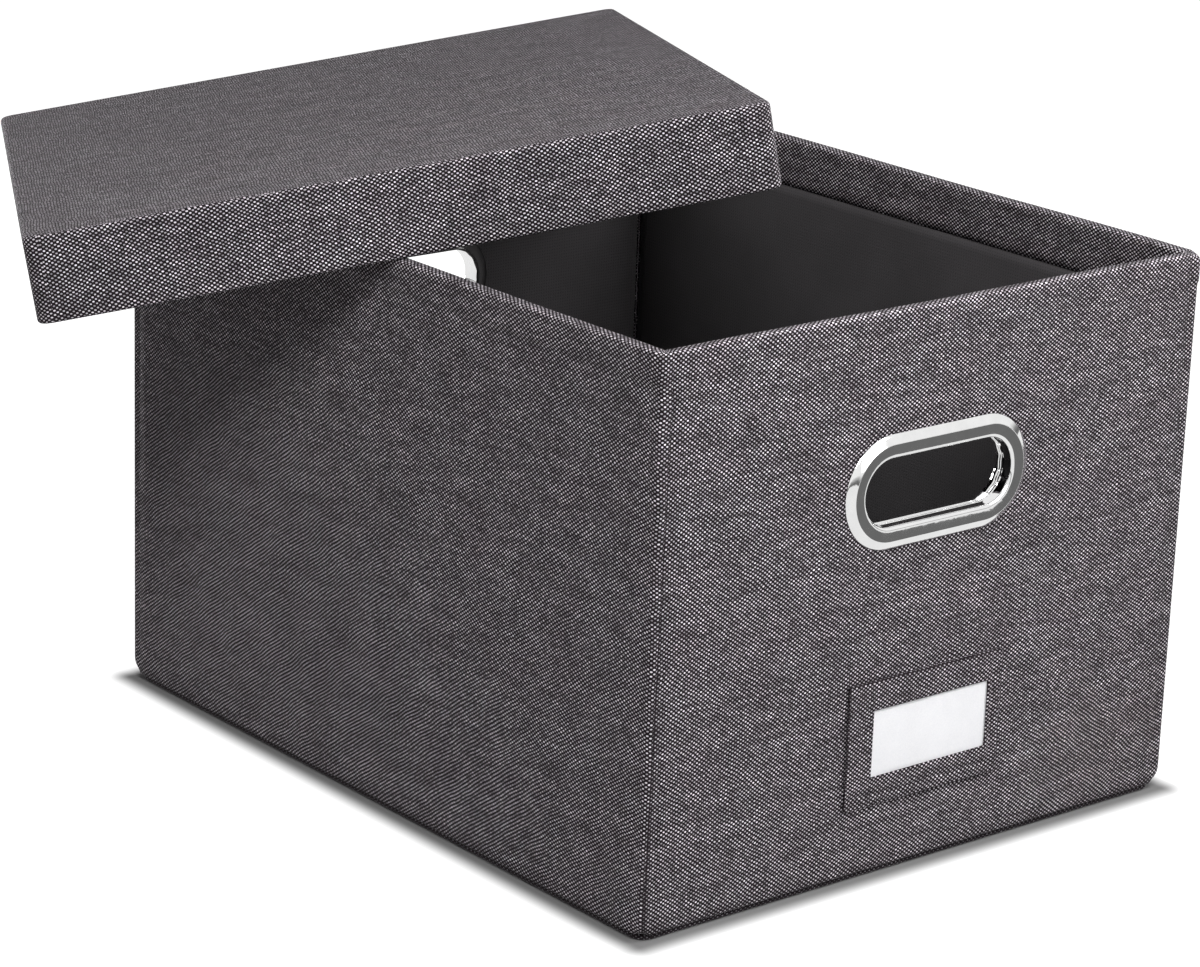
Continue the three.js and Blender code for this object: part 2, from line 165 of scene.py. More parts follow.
class Paint(Nodes):
    """A material's node tree."""

    def __init__(self, name):
        self.material = bpy.data.materials.new(name)
        super().__init__(self.material, "ShaderNodeOutputMaterial")

    def bump(self, height, strength, distance):
        sockets = {"Height": height, "Strength": strength, "Distance": distance}
        return self.node("ShaderNodeBump", sockets).outputs[0]

    def principled(self, **sockets):
        inputs = {key.replace("_", " "): value for key, value in sockets.items()}
        self.finish(self.node("ShaderNodeBsdfPrincipled", inputs).outputs[0])
        return self.material

    def cloth(self):
        """Where a point is on its cloth, in millimetres across and up, and its edge: above 0 where the cloth
        is lighter at a bent or worn edge, and below 0 where shade is painted on: in a seam's groove, along
        the pocket's edges and at the foot of the walls and the bottom panel."""
        place = self.node("ShaderNodeAttribute", attribute_name="cloth").outputs["Vector"]
        across, up, edge = self.node("ShaderNodeSeparateXYZ", {0: place}).outputs
        return across, up, edge

    def place(self):
        """Where a point is in its piece, in millimetres."""
        raw = self.node("ShaderNodeTexCoord").outputs["Object"]
        return self.node("ShaderNodeVectorMath", {0: raw, 3: 1 / MM}, operation="SCALE").outputs[0]


def weave(name):
    """Plain weave of black upright yarns and off-white level ones, with uneven linen-look yarn."""
    p = Paint(name)
    across, up, edge = p.cloth()
    flat = p.vector(across, up)
    # The yarns wander a little from straight.
    wander = p.node("ShaderNodeTexNoise", {"Vector": flat, "Scale": 0.06, "Detail": 2.0}).outputs["Color"]
    shift = p.node("ShaderNodeSeparateColor", {0: wander}).outputs
    across = p.plus(across, p.span(shift[0], 0.2, 0.8, -0.8, 0.8))
    up = p.plus(up, p.span(shift[1], 0.2, 0.8, -0.6, 0.6))
    # The wave is highest where a level yarn passes over, and lowest where an upright one does.
    column = p.math("FLOOR", p.math("DIVIDE", across, YARN_ACROSS))
    row = p.math("FLOOR", p.math("DIVIDE", up, YARN_UP))
    wave = p.times(
        p.math("SINE", p.times(across, math.pi / YARN_ACROSS)),
        p.math("SINE", p.times(up, math.pi / YARN_UP)),
    )
    # Each yarn is thicker and lighter here and there along its length.
    level_yarn = p.noise(p.vector(p.times(across, 0.045), p.times(row, 3.71)), 1.0, 3.0)
    upright_yarn = p.noise(p.vector(p.times(column, 3.71), p.times(up, 0.045)), 1.0, 3.0)
    fibre = p.noise(p.vector(across, up), 5.0)
    # The edge value also moves how much of the level yarn shows: more at lighter edges, less under painted
    # shade.
    shows_from = p.minus(LEVEL_SHOWS_FROM, p.times(edge, 0.25))
    shows_from = p.plus(shows_from, p.span(level_yarn, 0.3, 0.7, 0.10, -0.10))
    shown = p.span(p.minus(wave, shows_from), -0.12, 0.12, smooth=True)
    # The level yarn is light and dark along its length, from crossing to crossing, in its fibres and by area.
    crossing = p.vector(column, row)
    spot = p.node("ShaderNodeTexWhiteNoise", {"Vector": crossing}, noise_dimensions="2D").outputs[0]
    bright = p.times(p.span(level_yarn, 0.25, 0.75, 0.74, 1.14), p.span(spot, 0, 1, 0.46, 1.30))
    bright = p.times(bright, p.span(fibre, 0.2, 0.8, 0.8, 1.15))
    # The edge value then lightens the yarn at bent or worn edges, and below 0 darkens it with painted shade.
    worn = p.plus(1.0, p.times(p.math("MAXIMUM", edge, 0.0), 0.25))
    painted_shade = p.plus(1.0, p.times(p.math("MINIMUM", edge, 0.0), 0.85))
    bright = p.times(bright, p.times(worn, painted_shade))
    mottle = p.noise(p.vector(p.times(across, 0.05), p.times(up, 0.09)), 1.0, 3.0, 0.6)
    bright = p.times(bright, p.span(mottle, 0.3, 0.7, 0.80, 1.16))
    red, green, blue = LEVEL_YARN
    cloud = p.noise(flat, 0.035, 3.0)
    tint = p.blend(p.span(cloud, 0.35, 0.65), LEVEL_YARN, (red, green * 0.965, blue * 0.975))
    level = p.tinted(tint, bright)
    upright = p.tinted(UPRIGHT_YARN, p.span(upright_yarn, 0.25, 0.75, 0.5, 2.4))
    height = p.plus(p.math("POWER", p.math("ABSOLUTE", wave), 0.5), p.times(fibre, 0.25))
    return p.principled(
        Base_Color=p.blend(shown, upright, level),
        Roughness=p.span(shown, 0, 1, 0.82, 0.95),
        Normal=p.bump(height, 0.55, 0.00025),
        Sheen_Weight=0.02,
        Sheen_Roughness=0.5,
        Specular_IOR_Level=0.15,
    )


def felt(name):
    """Black non-woven lining with a pressed pattern of small dots."""
    p = Paint(name)
    across, up, _ = p.cloth()
    rising = p.math("SINE", p.times(p.plus(across, up), math.pi / LINING_DOTS))
    falling = p.math("SINE", p.times(p.minus(across, up), math.pi / LINING_DOTS))
    dots = p.span(p.times(rising, falling), 0.35, 0.75, smooth=True)
    fibre = p.noise(p.vector(across, p.times(up, 2.2)), 1.3, 4.0, 0.7)
    cloud = p.noise(p.vector(across, up), 0.02)
    grey = p.times(p.span(fibre, 0.3, 0.7, 0.6, 1.5), p.span(cloud, 0.3, 0.7, 0.85, 1.15))
    grey = p.times(grey, p.span(dots, 0, 1, 1.0, 0.62))
    return p.principled(
        Base_Color=p.tinted((0.060, 0.056, 0.059), grey),
        Roughness=p.span(fibre, 0.2, 0.8, 0.75, 0.95),
        Normal=p.bump(p.minus(p.times(fibre, 0.6), dots), 0.5, 0.0002),
        Sheen_Weight=0.1,
        Specular_IOR_Level=0.3,
    )


def pressed_board(name):
    """Grey-brown board of pressed flakes."""
    p = Paint(name)
    place = p.place()
    flake = p.noise(place, 1.1, 5.0, 0.7)
    cloud = p.noise(place, 0.03)
    colour = p.blend(p.span(flake, 0.35, 0.65), (0.20, 0.165, 0.125), (0.40, 0.34, 0.265))
    return p.principled(
        Base_Color=p.tinted(colour, p.span(cloud, 0.3, 0.7, 0.85, 1.1)),
        Roughness=p.span(flake, 0.2, 0.8, 0.8, 0.95),
        Normal=p.bump(flake, 0.4, 0.0002),
    )


def galvanised(name):
    """Zinc-coated sheet with its spangle."""
    p = Paint(name)
    place = p.place()
    cell = p.node("ShaderNodeTexVoronoi", {"Vector": place, "Scale": 0.25}).outputs["Color"]
    spangle = p.node("ShaderNodeSeparateColor", {0: cell}).outputs[0]
    grain = p.noise(place, 3.0, 3.0)
    return p.principled(
        Base_Color=p.blend(spangle, (0.36, 0.37, 0.38), (0.52, 0.53, 0.54)),
        Metallic=1.0,
        Roughness=p.span(grain, 0.3, 0.7, 0.35, 0.55),
        Normal=p.bump(grain, 0.1, 0.0001),
    )


def polished(name):
    """Bright polished sheet metal with faint handling marks."""
    p = Paint(name)
    place = p.place()
    smear = p.noise(place, 0.12, 3.0, 0.6)
    stretched = p.node("ShaderNodeMapping", {0: place, 3: (0.15, 1.0, 4.0)}).outputs[0]
    scratch = p.noise(stretched, 1.5, 4.0, 0.8)
    rough = p.plus(p.span(smear, 0.35, 0.7, 0.035, 0.085), p.span(scratch, 0.62, 0.75, 0.0, 0.06))
    return p.principled(
        Base_Color=p.blend(p.span(smear, 0.3, 0.7), (0.80, 0.80, 0.80), (0.86, 0.86, 0.855)),
        Metallic=1.0,
        Roughness=rough,
        Normal=p.bump(smear, 0.12, 0.0004),
    )


def card_stock(name):
    """White card with a faint pulp grain."""
    p = Paint(name)
    place = p.place()
    pulp = p.noise(place, 1.6, 5.0, 0.65)
    cloud = p.noise(place, 0.05)
    colour = p.blend(p.span(pulp, 0.3, 0.7), (0.83, 0.835, 0.86), (0.90, 0.90, 0.915))
    return p.principled(
        Base_Color=p.tinted(colour, p.span(cloud, 0.3, 0.7, 0.97, 1.02)),
        Roughness=p.span(pulp, 0.2, 0.8, 0.6, 0.75),
        Normal=p.bump(pulp, 0.12, 0.0001),
    )


linen = weave("linen_weave")
lining = felt("non_woven_lining")
board = pressed_board("pressed_board")
zinc = galvanised("galvanised_sheet")
chrome = polished("polished_metal")
paper = card_stock("card_stock")


# Meshes


def mesh(name, points, faces, cloth, material):
    """A mesh piece. points are in millimetres; cloth holds one (across, up, edge) for each face corner."""
    data = bpy.data.meshes.new(name)
    data.from_pydata([tuple(c * MM for c in p) for p in points], [], faces)
    layer = data.attributes.new("cloth", "FLOAT_VECTOR", "CORNER")
    layer.data.foreach_set("vector", np.asarray(cloth, np.float32).ravel())
    data.polygons.foreach_set("use_smooth", [True] * len(data.polygons))
    data.set_sharp_from_angle(angle=math.radians(SHARP_FROM))
    data.materials.append(material)
    data.update()
    piece = bpy.data.objects.new(name, data)
    bpy.context.scene.collection.objects.link(piece)
    return piece


def grid(name, points, cloth, material, closed=False, flip=False, drop=None, lying=None, sides=None,
         fill=()):
    """A sheet of quads from rows of points, or a tube where the rows close on themselves.

    cloth gives (across, up, edge) for each point, with one column more for a tube. drop(row, column) leaves a
    quad out, and fill names rows that are closed with a face. lying is the cloth of flat parts: the filled
    rows, and all rows outside sides[0] to sides[1]."""
    points = np.asarray(points, float)
    cloth = np.asarray(cloth, float)
    rows, columns = points.shape[:2]
    faces, corners = [], []
    for i in range(rows - 1):
        source = cloth if sides is None or sides[0] <= i < sides[1] else lying
        for j in range(columns if closed else columns - 1):
            if drop is not None and drop(i, j):
                continue
            k = (j + 1) % columns
            quad = [i * columns + j, i * columns + k, (i + 1) * columns + k, (i + 1) * columns + j]
            spots = [source[i][j], source[i][j + 1], source[i + 1][j + 1], source[i + 1][j]]
            if flip:
                quad.reverse()
                spots.reverse()
            faces.append(quad)
            corners.extend(spots)
    for i in fill:
        face = [i * columns + j for j in range(columns)]
        spots = [(cloth if lying is None else lying)[i][j] for j in range(columns)]
        if (i == 0) != flip:
            face.reverse()
            spots.reverse()
        faces.append(face)
        corners.extend(spots)
    return mesh(name, points.reshape(-1, 3), faces, corners, material)


def thicken(piece, amount, even=True):
    """Gives a sheet its thickness, to the inside of its faces. Cloth that bends as the walls fold isn't kept
    even, because narrow folded faces would throw out spikes."""
    modifier = piece.modifiers.new("thickness", "SOLIDIFY")
    modifier.thickness = amount * MM
    modifier.offset = -1.0
    modifier.use_even_offset = even


def steps(start, end, size):
    """Evenly spaced numbers from start to end, about size apart."""
    count = max(1, round(abs(end - start) / size))
    return [start + (end - start) * i / count for i in range(count + 1)]


def arc(cx, cy, rx, ry, start, end, count):
    """Points of an elliptic arc, angles in degrees."""
    turns = [math.radians(start + (end - start) * i / count) for i in range(count + 1)]
    return [(cx + rx * math.cos(t), cy + ry * math.sin(t)) for t in turns]


def parts(a, b, count):
    """The points after a on the way to b, which cut it into count parts."""
    return [(a[0] + (b[0] - a[0]) * i / count, a[1] + (b[1] - a[1]) * i / count) for i in range(1, count + 1)]


def line(a, b, size):
    """The same, with parts about size long."""
    return parts(a, b, max(1, round(math.dist(a, b) / size)))


def lengths(path):
    """How far along a path each of its points is."""
    made = [0.0]
    for a, b in zip(path, path[1:]):
        made.append(made[-1] + math.dist(a, b))
    return made


def unevenness(x, y, seed, scale):
    """A number between about -1 and 1 that wanders over distances of about scale."""
    return noise.noise(Vector((x / scale, y / scale, seed * 7.31)))


def ease(share):
    """A share from 0 to 1, with a soft start and end."""
    share = min(1.0, max(0.0, share))
    return share * share * (3 - 2 * share)


# The four walls: the body, the wall's length between hinges, whether it has a rail, and how a point that is
# `s` along the wall, `d` out from its inner face and `z` up lies in the row frame.
WALLS = {
    "front": ("front_wall", 2 * HINGE_X, False, lambda s, d, z: (s - HINGE_X, -HINGE_Y - HINGE_INSET - d, z)),
    "right": ("right_wall", 2 * HINGE_Y, True, lambda s, d, z: (HINGE_X + HINGE_INSET + d, s - HINGE_Y, z)),
    "back": ("back_wall", 2 * HINGE_X, False, lambda s, d, z: (HINGE_X - s, HINGE_Y + HINGE_INSET + d, z)),
    "left": ("base", 2 * HINGE_Y, True, lambda s, d, z: (-HINGE_X - HINGE_INSET - d, HINGE_Y - s, z)),
}


def cover_path(ridge):
    """A wall's outer cloth in section: from the hem inside, over the rim and down to the turned-in foot."""
    outer = WALL + ridge
    rim = BOX_HEIGHT - RIM_RADIUS
    ridge_end = BOX_HEIGHT - RAIL_DEPTH
    path = [(0.0, BOX_HEIGHT - HEM)]
    path += line(path[-1], (0.0, rim), 4.5)
    path += arc(RIM_RADIUS, rim, RIM_RADIUS, RIM_RADIUS, 180, 90, 5)[1:]
    path += line(path[-1], (outer - RIM_RADIUS, BOX_HEIGHT), 1.2)
    path += arc(outer - RIM_RADIUS, rim, RIM_RADIUS, RIM_RADIUS, 90, 0, 5)[1:]
    path += line(path[-1], (outer, ridge_end), 2.2)
    path += line(path[-1], (outer - ridge * 0.55, ridge_end - 0.8), 1.0)
    path += line(path[-1], (WALL, ridge_end - RIDGE_SLOPE), 1.0)
    path += line(path[-1], (WALL, WALL_FOOT + RIM_RADIUS), WALL_STEP)
    path += arc(WALL - RIM_RADIUS, WALL_FOOT + RIM_RADIUS, RIM_RADIUS, RIM_RADIUS, 0, -90, 5)[1:]
    path += line(path[-1], (CLOTH + GAP, WALL_FOOT), 1.5)
    return path


def up_along(path):
    """The cloth's own height along a section, equal to the height above the floor on the plain outside."""
    run = lengths(path)
    plain = next(i for i, (d, z) in enumerate(path) if d >= WALL - 0.01 and z < 200)
    return [path[plain][1] + run[plain] - r for r in run]


def lighter_rim_and_foot_shade(d, z, ridge):
    """How much lighter the yarn looks where the cloth bends over the rim's edges, and below 0, the painted
    shade that darkens its turned-in foot.
    """
    bend, reach = 0.6, 1.6
    top = max(0.0, 1 - math.dist((d, z), (WALL + ridge - bend, BOX_HEIGHT - bend)) / reach)
    inner = max(0.0, 1 - math.dist((d, z), (bend, BOX_HEIGHT - bend)) / reach)
    # Painted shade, standing in for the shadow where the cloth turns in under the foot.
    foot = 0.6 * ease((6.0 - z) / 3.0)
    return max(top, 0.8 * inner) - foot


def hole(local, length, radius):
    """Draws the points round a handle opening onto its edge, and says which quads the opening takes out."""
    middle = length / 2

    def off(s, z):
        """The nearest place on the opening's middle line, and how far off it a point is."""
        near = min(max(s, middle - HANDLE_HALF), middle + HANDLE_HALF)
        return near, math.hypot(s - near, z - HANDLE_Z)

    dropped, edge = set(), set()
    for i in range(len(local) - 1):
        for j in range(len(local[0]) - 1):
            quad = [(i, j), (i, j + 1), (i + 1, j + 1), (i + 1, j)]
            centre = np.mean([local[a][b] for a, b in quad], axis=0)
            if off(centre[0], centre[2])[1] < radius:
                dropped.add((i, j))
                edge.update(quad)
    inside = {
        (i, j) for (i, j) in edge
        if all((a, b) in dropped for a, b in [(i - 1, j - 1), (i - 1, j), (i, j - 1), (i, j)])
    }
    for i, j in edge - inside:
        s, d, z = local[i][j]
        near, far = off(s, z)
        local[i][j] = (near + (s - near) * radius / far, d, HANDLE_Z + (z - HANDLE_Z) * radius / far)
    return dropped


def wall_cover(side):
    """A wall's outer cloth, slightly uneven, with a hole for the handle in the short walls."""
    body, length, railed, place = WALLS[side]
    ridge = RIDGE if railed else 0.0
    path = cover_path(ridge)
    ups = up_along(path)
    stations = steps(0, length, WALL_STEP)
    local = []
    for (d, z) in path:
        row = []
        for s in stations:
            ends = ease(min(s, length - s) / 25)
            plain = ease((z - 8) / 20) * ease((BOX_HEIGHT - 1 - z) / 20) if d > WALL / 2 else 0.0
            swell = 0.16 * unevenness(s, z, len(side), 55) * ends * plain
            sag = 0.35 * unevenness(s, 0, len(side) + 3, 90) * ends if z > BOX_HEIGHT - 5 else 0.0
            row.append((s, d + swell, z + sag))
        local.append(row)
    before = [list(row) for row in local]
    dropped = hole(local, length, HOLE_RADIUS) if not railed else set()
    cloth = []
    for i, (d, z) in enumerate(path):
        row = []
        for j, s in enumerate(stations):
            # A point that was drawn onto the hole's edge takes its place on the cloth with it.
            along = local[i][j][0] - before[i][j][0]
            lift = local[i][j][2] - before[i][j][2]
            up = ups[i] + (lift if d > WALL / 2 else -lift)
            row.append((ACROSS_START[side] + s + along, up, lighter_rim_and_foot_shade(d, z, ridge)))
        cloth.append(row)
    points = [[place(*p) for p in row] for row in local]
    piece = grid(side + "_cover_cloth", points, cloth, linen, flip=True,
                 drop=lambda i, j: (i, j) in dropped)
    thicken(piece, CLOTH * 0.9)
    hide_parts(side + "_wall_cover")
    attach(piece, body)


def wall_lining(side):
    """A wall's lining, from its foot to the cover's hem."""
    body, length, railed, place = WALLS[side]
    stations = steps(0.8, length - 0.8, WALL_STEP)
    heights = steps(WALL_FOOT, BOX_HEIGHT - HEM - GAP, WALL_STEP)
    local = [
        [(s, 0.02 + 0.1 * abs(unevenness(s, z, len(side) + 9, 40)), z) for s in stations]
        for z in heights
    ]
    dropped = hole(local, length, HOLE_RADIUS) if not railed else set()
    points = [[place(*p) for p in row] for row in local]
    cloth = [[(p[0] + ACROSS_START[side], p[2], 0.0) for p in row] for row in local]
    piece = grid(side + "_inner_lining", points, cloth, lining, flip=True,
                 drop=lambda i, j: (i, j) in dropped)
    thicken(piece, CLOTH * 0.8)
    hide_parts(side + "_wall_lining")
    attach(piece, body)


for wall_name in WALLS:
    wall_cover(wall_name)
    wall_lining(wall_name)


# Cloth corners

CORNER_BEND = 2.6
CORNER_RUN = 2 * (CORNER_RADIUS - CORNER_BEND) + math.radians(90) * CORNER_BEND


def corner_path(ridge, round_share):
    """A corner's section as distance from the hinge line against height, from the inside up and over. Its top
    and foot are rounder in the middle of the bend, where round_share is 1."""

    def rounded(full):
        return RIM_RADIUS + (full - RIM_RADIUS) * round_share

    outer = CORNER_RADIUS + ridge
    top_r, top_z, foot_r, foot_z = rounded(3.0), rounded(4.0), rounded(5.0), rounded(8.0)
    top = BOX_HEIGHT - 0.5 * round_share
    ridge_end = BOX_HEIGHT - RAIL_DEPTH
    path = [(HINGE_INSET, WALL_FOOT + 1.0)]
    path += line(path[-1], (HINGE_INSET, top - 1.5), 25.0)
    path += arc(HINGE_INSET + 1.2, top - 1.5, 1.2, 1.5, 180, 90, 4)[1:]
    path += parts(path[-1], (outer - top_r, top), 3)
    path += arc(outer - top_r, top - top_z, top_r, top_z, 90, 0, 6)[1:]
    path += parts(path[-1], (outer, ridge_end), 4)
    path += parts(path[-1], (CORNER_RADIUS, ridge_end - RIDGE_SLOPE), 2)
    path += parts(path[-1], (CORNER_RADIUS, WALL_FOOT + 8.0), 46)
    path += parts(path[-1], (CORNER_RADIUS, WALL_FOOT + foot_z + 0.01), 3)
    path += arc(CORNER_RADIUS - foot_r, WALL_FOOT + foot_z, foot_r, foot_z, 0, -90, 7)[1:]
    return path


def round_corner(reach, radius, turn):
    """A place on a rounded square corner: how far out it is from the first wall and from the next one."""
    flat = reach - radius
    bend = math.radians(90) * radius
    way = turn * (2 * flat + bend)
    if way < flat:
        return reach, way
    if way > flat + bend:
        return 2 * flat + bend - way, reach
    angle = (way - flat) / radius
    return flat + radius * math.cos(angle), flat + radius * math.sin(angle)


def corner_cloth(name, sign_x, sign_y, start_angle, ridge_start, ridge_end, across, seam=None,
                 across_after=0.0):
    """The cloth round a corner. seam(height) is how far round it the first wall's cloth ends, and the next
    wall's cloth comes out from under it."""
    centre = (sign_x * HINGE_X, sign_y * HINGE_Y)
    first = (math.cos(math.radians(start_angle)), math.sin(math.radians(start_angle)))
    after = (-first[1], first[0])
    # Each station is its way to the seam, its way on from the seam in millimetres, and its way from there.
    stations = [(i / 14, 0.0, 0.0) for i in range(15)]
    if seam is not None:
        stations += [(1.0, 0.18, 0.0)] + [(1.0, 0.42, share) for share in (0.0, 0.2, 0.4, 0.6, 0.8, 1.0)]
    points, cloth = [], []
    for k, (_, level) in enumerate(corner_path(1.0, 0.0)):
        row, row_cloth = [], []
        for before, beyond, rest in stations:
            turn = (seam(level) if seam is not None else 1.0) * before + beyond / CORNER_RUN
            turn += (1.0 - turn) * rest
            section = corner_path(ridge_start + (ridge_end - ridge_start) * turn, math.sin(math.pi * turn))
            r, z = section[k]
            up = up_along([(a - HINGE_INSET + 1e-6, b) for a, b in section])[k]
            proud, shade, roll = 0.0, 0.0, across
            on_outside = r > CORNER_RADIUS * 0.6
            # Along the seam the first wall's cloth stands a little proud and is a little lighter at its edge.
            # The next wall's cloth, coming out from under it, gets a dark line of painted shade for the
            # groove.
            if seam is not None and on_outside:
                if beyond == 0.0:
                    proud = 0.4 * ease(before * 1.5 - 0.5)
                    shade = 0.2 if before == 1.0 else 0.0
                else:
                    proud = -0.1 * (1.0 - rest)
                    shade = -0.95 * (1.0 - rest) ** 3
                    roll = across_after
            reach = r + proud
            a, b = round_corner(reach, reach * CORNER_BEND / CORNER_RADIUS, turn)
            row.append((centre[0] + a * first[0] + b * after[0], centre[1] + a * first[1] + b * after[1], z))
            row_cloth.append((roll + CORNER_RUN * turn, up, shade + lighter_rim_and_foot_shade(r - HINGE_INSET, z, 0.0)))
        points.append(row)
        cloth.append(row_cloth)
    piece = grid(name, points, cloth, linen, flip=True)
    thicken(piece, CLOTH * 0.8, even=False)
    return piece


def front_left_seam(z):
    """The seam leans: near the front wall at the rim, and halfway round the corner at the foot."""
    return 0.52 + 0.42 * min(max(z / BOX_HEIGHT, 0.0), 1.0)


corner = corner_cloth(
    "front_left_corner_cloth", -1, -1, 180, RIDGE, 0, ACROSS_START["left"] + 2 * HINGE_Y,
    front_left_seam, ACROSS_START["front"] - CORNER_RUN,
)
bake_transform(corner)
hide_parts("corner_front_left")
corner = corner_cloth("front_right_corner_cloth", 1, -1, 270, 0, RIDGE, ACROSS_START["front"] + 2 * HINGE_X)
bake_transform(corner)
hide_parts("corner_front_right")
corner = corner_cloth("back_right_corner_cloth", 1, 1, 0, RIDGE, 0, ACROSS_START["right"] + 2 * HINGE_Y)
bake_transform(corner)
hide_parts("corner_back_right")
corner = corner_cloth("back_left_corner_cloth", -1, 1, 90, 0, RIDGE, ACROSS_START["back"] + 2 * HINGE_X)
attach(corner, "base")
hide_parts("corner_back_left")


# Bottom panel


def outline(half_x, half_y, radius, per_corner, size):
    """Points round a rectangle with round corners, anticlockwise from the front side's left end."""
    made = []
    x, y = half_x - radius, half_y - radius
    sides = [
        ((-x, -half_y), (x, -half_y), (x, -y), -90),
        ((half_x, -y), (half_x, y), (x, y), 0),
        ((x, half_y), (-x, half_y), (-x, y), 90),
        ((-half_x, y), (-half_x, -y), (-x, -y), 180),
    ]
    for a, b, centre, angle in sides:
        count = max(1, round(math.dist(a, b) / size))
        made += [a] + parts(a, b, count)[:-1]
        made += arc(centre[0], centre[1], radius, radius, angle, angle + 90, per_corner)[:-1]
    return made


def drawn_in(x, y, inset, half_x, half_y, radius):
    """A point of the outline, moved in by inset: square to the edge near it, and to the middle farther in."""
    if inset > radius - 0.3:
        scale = (half_x - inset) / half_x
        return x * scale, y * scale
    near_x = min(max(x, radius - half_x), half_x - radius)
    near_y = min(max(y, radius - half_y), half_y - radius)
    away = math.hypot(x - near_x, y - near_y)
    share = (away - inset) / away
    return near_x + (x - near_x) * share, near_y + (y - near_y) * share


def rings(name, half_x, half_y, radius, section, material, across, flip=False, place=None, sides=None,
          wear_and_painted_shade=None, per_corner=6, size=12.0, swell=None, fill_first=False):
    """A piece built from rings round a rectangle. section is a list of (inset, height). The rows from
    sides[0] to sides[1] carry the cloth of the sides; on the others it lies flat, as on a top."""
    ring = outline(half_x, half_y, radius, per_corner, size)
    around = lengths(ring + ring[:1])
    run = lengths(section)
    rows, flat, side = [], [], []
    for number, (inset, height) in enumerate(section):
        row = [(*drawn_in(x, y, inset, half_x, half_y, radius), height) for x, y in ring]
        if swell is not None:
            row = [(x, y, z + swell(x, y, inset)) for x, y, z in row]
        rows.append(row)
        edge = wear_and_painted_shade(number) if wear_and_painted_shade is not None else 0.0
        side.append([(across + a, -run[number], edge) for a in around])
        flat.append([(x + across, y, edge) for x, y, z in row + row[:1]])
    if place is not None:
        rows = [[place(p) for p in row] for row in rows]
    fill = [len(rows) - 1, 0] if fill_first else [len(rows) - 1]
    if sides is None:
        return grid(name, rows, flat, material, closed=True, flip=flip, fill=fill)
    return grid(name, rows, side, material, closed=True, flip=flip, lying=flat, sides=sides, fill=fill)


def to_middle(start, height, half, count=7):
    """Rings that shrink from an inset to almost the middle, so that a flat face is filled."""
    return [(start + (half - 0.6 - start) * i / count, height) for i in range(1, count + 1)]


PANEL_X, PANEL_Y, PANEL_CORNER = BOX_WIDTH / 2 - 2.5, BOX_DEPTH / 2 - 2.5, 6.0
underside = list(reversed(to_middle(1.0, 0.0, PANEL_X)))
panel_edge = [(1.0, 0.0), (0.45, 0.12), (0.1, 0.5), (0.0, 1.0)]
panel_edge += [(0.0, 1.8), (0.1, 2.3), (0.45, 2.68), (1.0, BOTTOM)]
panel_top = [(6.0, BOTTOM), (12.0, BOTTOM), (15.9, BOTTOM - 0.02), (16.0, BOTTOM - 0.6)]
panel_sides = (len(underside) + 1, len(underside) + len(panel_edge) - 1)
# The bottom panel's rounded sides get painted shade, which stands in for the shadow under the walls' foot.
panel = rings(
    "bottom_panel_cloth", PANEL_X, PANEL_Y, PANEL_CORNER, underside + panel_edge + panel_top,
    linen, PANEL_START, sides=panel_sides, fill_first=True,
    wear_and_painted_shade=lambda n: -0.75 if panel_sides[0] <= n < panel_sides[1] else 0.0,
)
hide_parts("bottom_cover")
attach(panel, "base")

floor_section = [(16.3, BOTTOM - 0.5), (16.35, BOTTOM - 0.1), (16.8, BOTTOM)]
floor_section += to_middle(16.8, BOTTOM, PANEL_X)
floor_cloth = rings(
    "floor_inner_lining", PANEL_X, PANEL_Y, PANEL_CORNER, floor_section, lining, FLOOR_START,
)
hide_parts("floor_lining")
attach(floor_cloth, "base")


# Handles


def eyelet(name, side, section, material, crimp=0.0):
    """A metal ring round a handle opening. section is a closed list of (out from the opening's edge, out from
    the wall's outer face). crimp is how deep the barrel is crimped at the two round ends."""
    body, length, _, place = WALLS[side]
    end_steps, straight_steps, crimps = 48, 6, 15
    stations = []
    for end in (1, -1):
        for i in range(end_steps + 1):
            angle = (i / end_steps - 0.5) * math.pi
            stations.append((end * HANDLE_HALF, end * math.cos(angle), end * math.sin(angle), i / end_steps))
        for i in range(1, straight_steps):
            stations.append((end * HANDLE_HALF * (1 - 2 * i / straight_steps), 0.0, end * 1.0, None))
    rows = []
    for away, lift in section + section[:1]:
        row = []
        for x, out_x, out_z, turn in stations:
            more = 0.0
            if crimp and turn is not None and lift < -2.0 and away < 0.95:
                deep = ease((-2.0 - lift) / 4.0)
                more = crimp * deep * math.sin(math.pi * turn) * math.sin(turn * math.pi * crimps)
            far = OPENING_HEIGHT / 2 + away + more
            row.append(place(length / 2 + x + far * out_x, WALL + lift, HANDLE_Z + far * out_z))
        rows.append(row)
    cloth = [[(0.0, 0.0, 0.0)] * (len(stations) + 1) for _ in rows]
    piece = grid(name, rows, cloth, material, closed=True)
    weld = piece.modifiers.new("join", "WELD")
    weld.merge_threshold = 0.00001
    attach(piece, body)
    return piece


